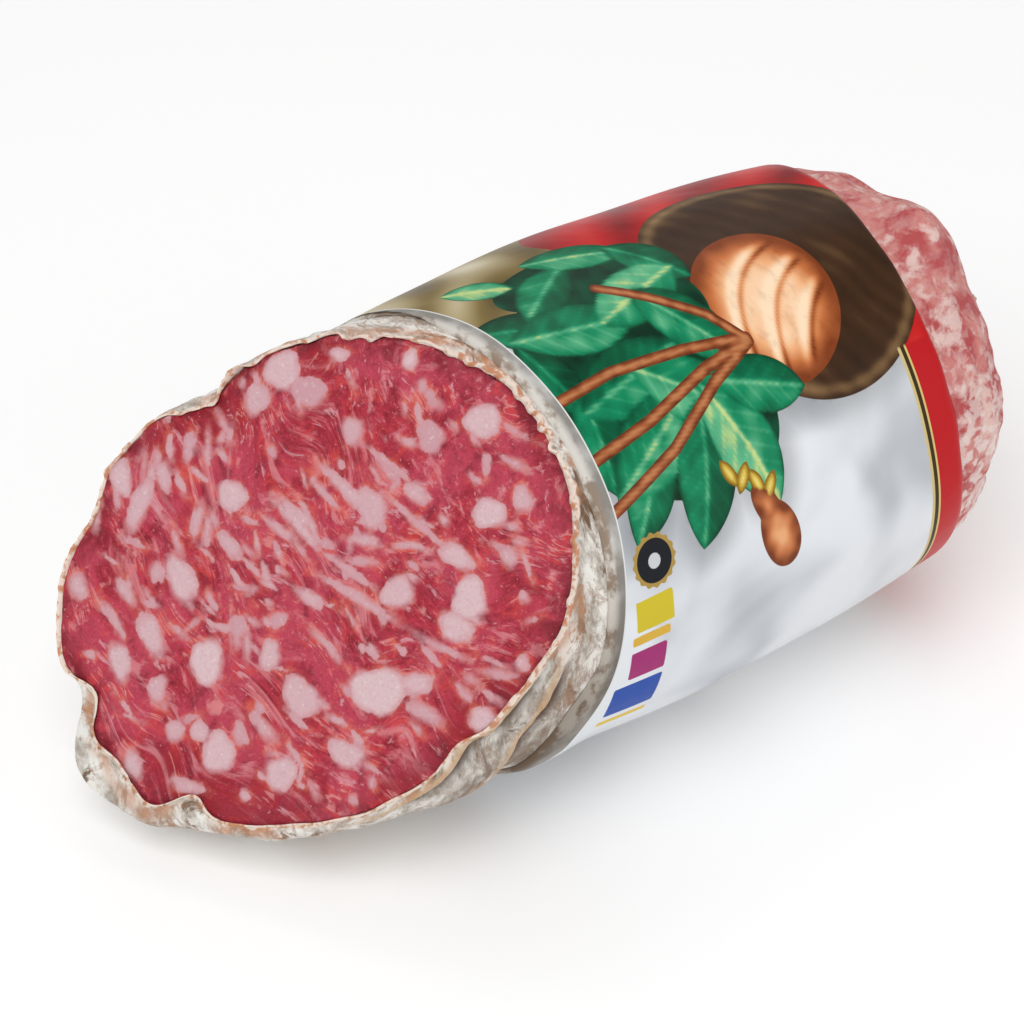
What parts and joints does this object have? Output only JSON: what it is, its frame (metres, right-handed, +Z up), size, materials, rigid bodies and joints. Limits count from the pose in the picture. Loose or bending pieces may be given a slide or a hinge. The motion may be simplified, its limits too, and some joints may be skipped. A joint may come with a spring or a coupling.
{
  "type": "cured sausage",
  "caption": "Half of a dry-cured salami in natural gut, cut on the bias, with a printed film sleeve round the middle and a twine tie at the far end. Lies on its side.",
  "frame": {"origin": "on the flat that the sausage rests on, on its middle line and within 4 mm of its middle, below the sleeve", "axes": "+X along the sausage from the cut end to the tied end, +Z up, +Y to the back, away from the side that the cut face is turned to"},
  "size_m": [0.1604, 0.0729, 0.0715],
  "materials": {
    "cured_meat": null,
    "natural_gut": "matt dried gut with pale mould bloom and brown patches",
    "printed_film": null,
    "twine": "matt natural cotton twine"
  },
  "bodies": {
    "root": {"filling": "cured_meat", "casing": "natural_gut", "label_sleeve": "printed_film", "tie_twine": "twine"}
  },
  "joints": []
}
